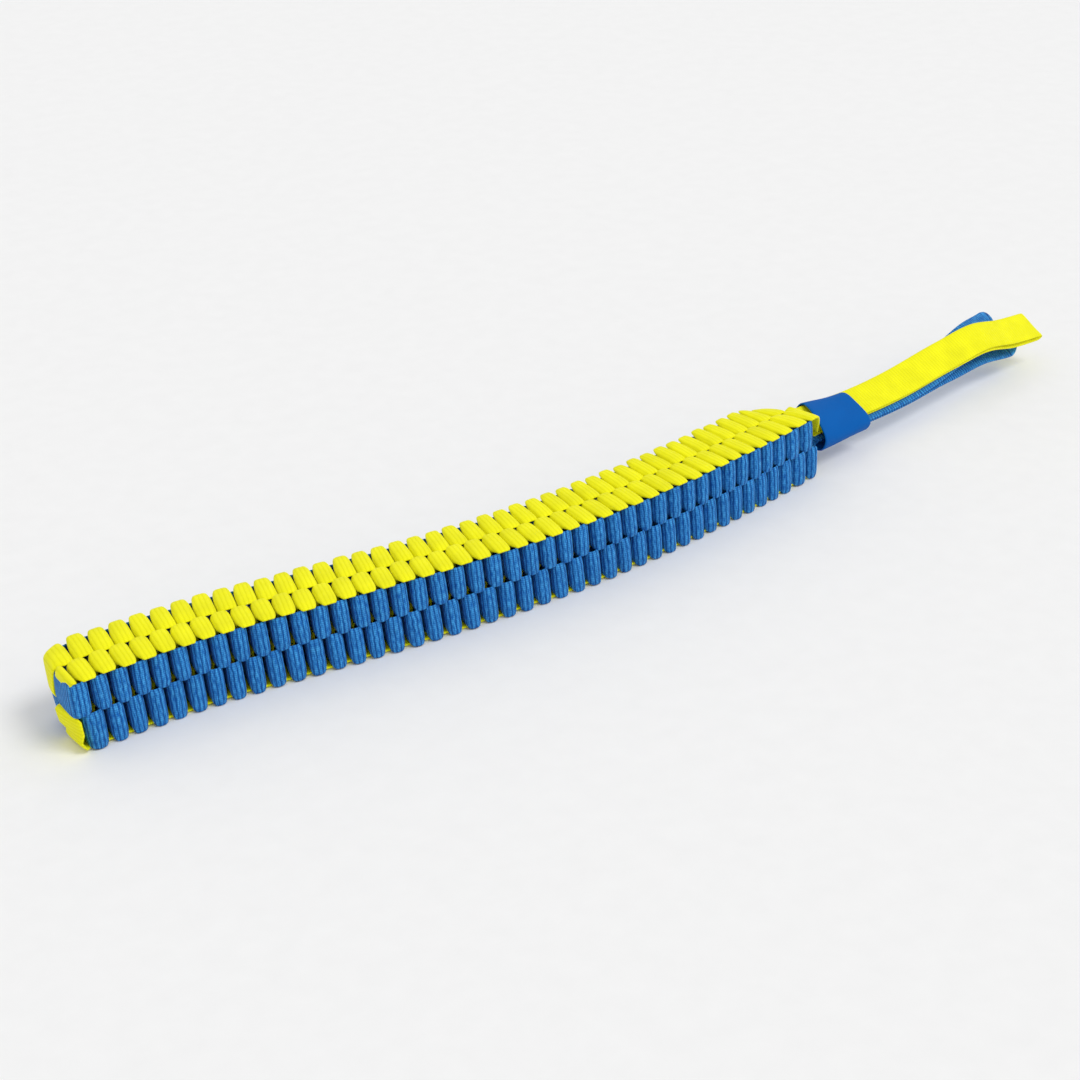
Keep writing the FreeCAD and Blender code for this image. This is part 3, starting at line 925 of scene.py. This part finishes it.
def make_stitches():
    """Six loops of thread, each through all four plies and back."""
    points = []
    faces = []
    weave = []
    base = 0
    for u0, c0 in STITCH_PLACES:
        turns = np.arange(STITCH_STEPS) / STITCH_STEPS * 2 * math.pi
        u = u0 + squared(np.cos(turns), STITCH_SQUARENESS) * STITCH_LENGTH / 2
        n = squared(np.sin(turns), STITCH_SQUARENESS) * STITCH_HALF
        line = handle_point(u, c0, n)
        side = handle_point(u0, c0 + 1, 0) - handle_point(u0, c0, 0)
        slope = np.roll(line, -1, 0) - np.roll(line, 1, 0)
        slope /= np.linalg.norm(slope, axis=1)[:, None]
        out = np.cross(slope, side)
        angles = np.arange(STITCH_AROUND) / STITCH_AROUND * 2 * math.pi
        rings = (line[:, None] + STITCH_R * (np.cos(angles)[None, :, None] * side
                                            + np.sin(angles)[None, :, None] * out[:, None]))
        ring_faces, _ = tube_faces(len(line), STITCH_AROUND, closed=True)
        if signed_volume(rings.reshape(-1, 3) - line.mean(0), ring_faces) < 0:
            ring_faces = [f[::-1] for f in ring_faces]
        faces += [tuple(i + base for i in f) for f in ring_faces]
        base += len(line) * STITCH_AROUND
        points.append(rings.reshape(-1, 3))
        travel = np.repeat(np.arange(len(line)), STITCH_AROUND)
        weave.append(np.stack([np.tile(angles, len(line)), travel * 0.4, travel * 0.0], 1))
    thread = mesh_object("binding_thread", np.concatenate(points), faces,
                         np.concatenate(weave))
    thread.data.materials.append(material("thread"))
    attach(thread, "neck")
    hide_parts("binding_stitches")


# ---- stage ----------------------------------------------------------------------------
CAMERA_AZIMUTH = math.radians(-36.12)
CAMERA_ELEVATION = math.radians(27.46)
CAMERA_FROM_NECK = Vector((-0.653264, -0.705409, 0.444086))
LENS = 77.56


def make_camera():
    camera = bpy.data.objects.new("camera", bpy.data.cameras.new("camera"))
    bpy.context.scene.collection.objects.link(camera)
    camera.data.lens = LENS
    camera.data.sensor_width = 36
    camera.location = Vector(joint("neck_flex")["pos_m"]) + CAMERA_FROM_NECK
    a, e = CAMERA_AZIMUTH, CAMERA_ELEVATION
    back = Vector((math.sin(a) * math.cos(e), -math.cos(a) * math.cos(e), math.sin(e)))
    camera.rotation_mode = "QUATERNION"
    camera.rotation_quaternion = (-back).to_track_quat("-Z", "Y")
    camera.data.clip_end = 100
    bpy.context.scene.camera = camera


FLOOR_HALF = 12.0
WORLD_STRENGTH = 0.74
KEY_FROM = (0.5, -0.9, 1.5)
KEY_SOFTNESS = 26
KEY_STRENGTH = 1.1


def make_floor():
    corners = [(-FLOOR_HALF, -FLOOR_HALF, 0), (FLOOR_HALF, -FLOOR_HALF, 0),
               (FLOOR_HALF, FLOOR_HALF, 0), (-FLOOR_HALF, FLOOR_HALF, 0)]
    floor = mesh_object("floor", np.array(corners) / MM, [(0, 1, 2, 3)])
    g = Graph("floor")
    where = g.tree.nodes.new("ShaderNodeTexCoord").outputs["Object"]
    speckle = g.noise(where, 90.0, 2.0)
    g.put(g.shader.inputs["Base Color"],
          g.mix(speckle, (0.86, 0.86, 0.86, 1), (0.90, 0.90, 0.90, 1)))
    g.shader.inputs["Roughness"].default_value = 0.8
    floor.data.materials.append(g.material)


def sun(name, come_from, softness, strength):
    lamp = bpy.data.lights.new(name, "SUN")
    lamp.angle = math.radians(softness)
    lamp.energy = strength
    obj = bpy.data.objects.new(name, lamp)
    obj.location = come_from
    obj.rotation_mode = "QUATERNION"
    obj.rotation_quaternion = (-Vector(come_from)).to_track_quat("-Z", "Y")
    bpy.context.scene.collection.objects.link(obj)


def make_lights():
    world = bpy.data.worlds.new("studio")
    world.use_nodes = True
    background = world.node_tree.nodes["Background"]
    background.inputs["Color"].default_value = (1, 1, 1, 1)
    background.inputs["Strength"].default_value = WORLD_STRENGTH
    bpy.context.scene.world = world
    sun("key", KEY_FROM, KEY_SOFTNESS, KEY_STRENGTH)
    bpy.context.scene.view_settings.view_transform = "Standard"


make_camera()
make_floor()
make_lights()
for strand_name in STRANDS:
    make_strand(strand_name)
make_loops()
make_sleeve()
make_stitches()
